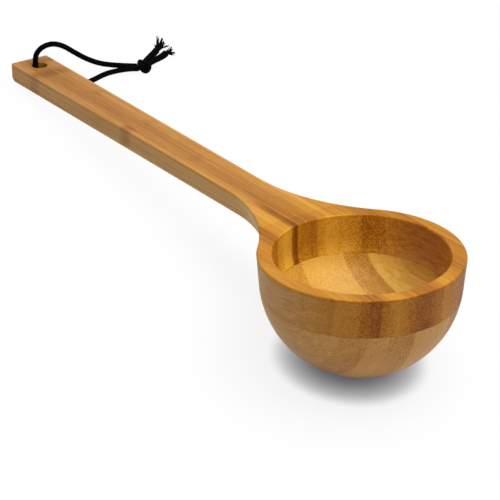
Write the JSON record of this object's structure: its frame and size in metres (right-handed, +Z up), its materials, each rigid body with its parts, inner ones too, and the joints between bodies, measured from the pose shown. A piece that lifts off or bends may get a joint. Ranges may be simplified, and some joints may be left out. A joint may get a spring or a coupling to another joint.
{
  "type": "wooden sauna ladle",
  "caption": "Laminated bamboo water ladle for a sauna, with a long flat handle, a round bowl and a hanging cord knotted through the handle's end.",
  "frame": {"origin": "on the table, under the middle of the wood's box", "axes": "+X along the ladle from the handle's end to the bowl, +Y across it to the side where the cord lies, +Z up"},
  "size_m": [0.4404, 0.1742, 0.0839],
  "materials": {
    "bamboo": "oiled satin laminated bamboo",
    "cord": "braided black cord"
  },
  "bodies": {
    "root": {"handle_board": "bamboo", "bowl_base": "bamboo", "hanging_cord": "cord", "cord_knot": "cord", "cord_end_upper": "cord", "cord_end_lower": "cord"}
  },
  "joints": []
}
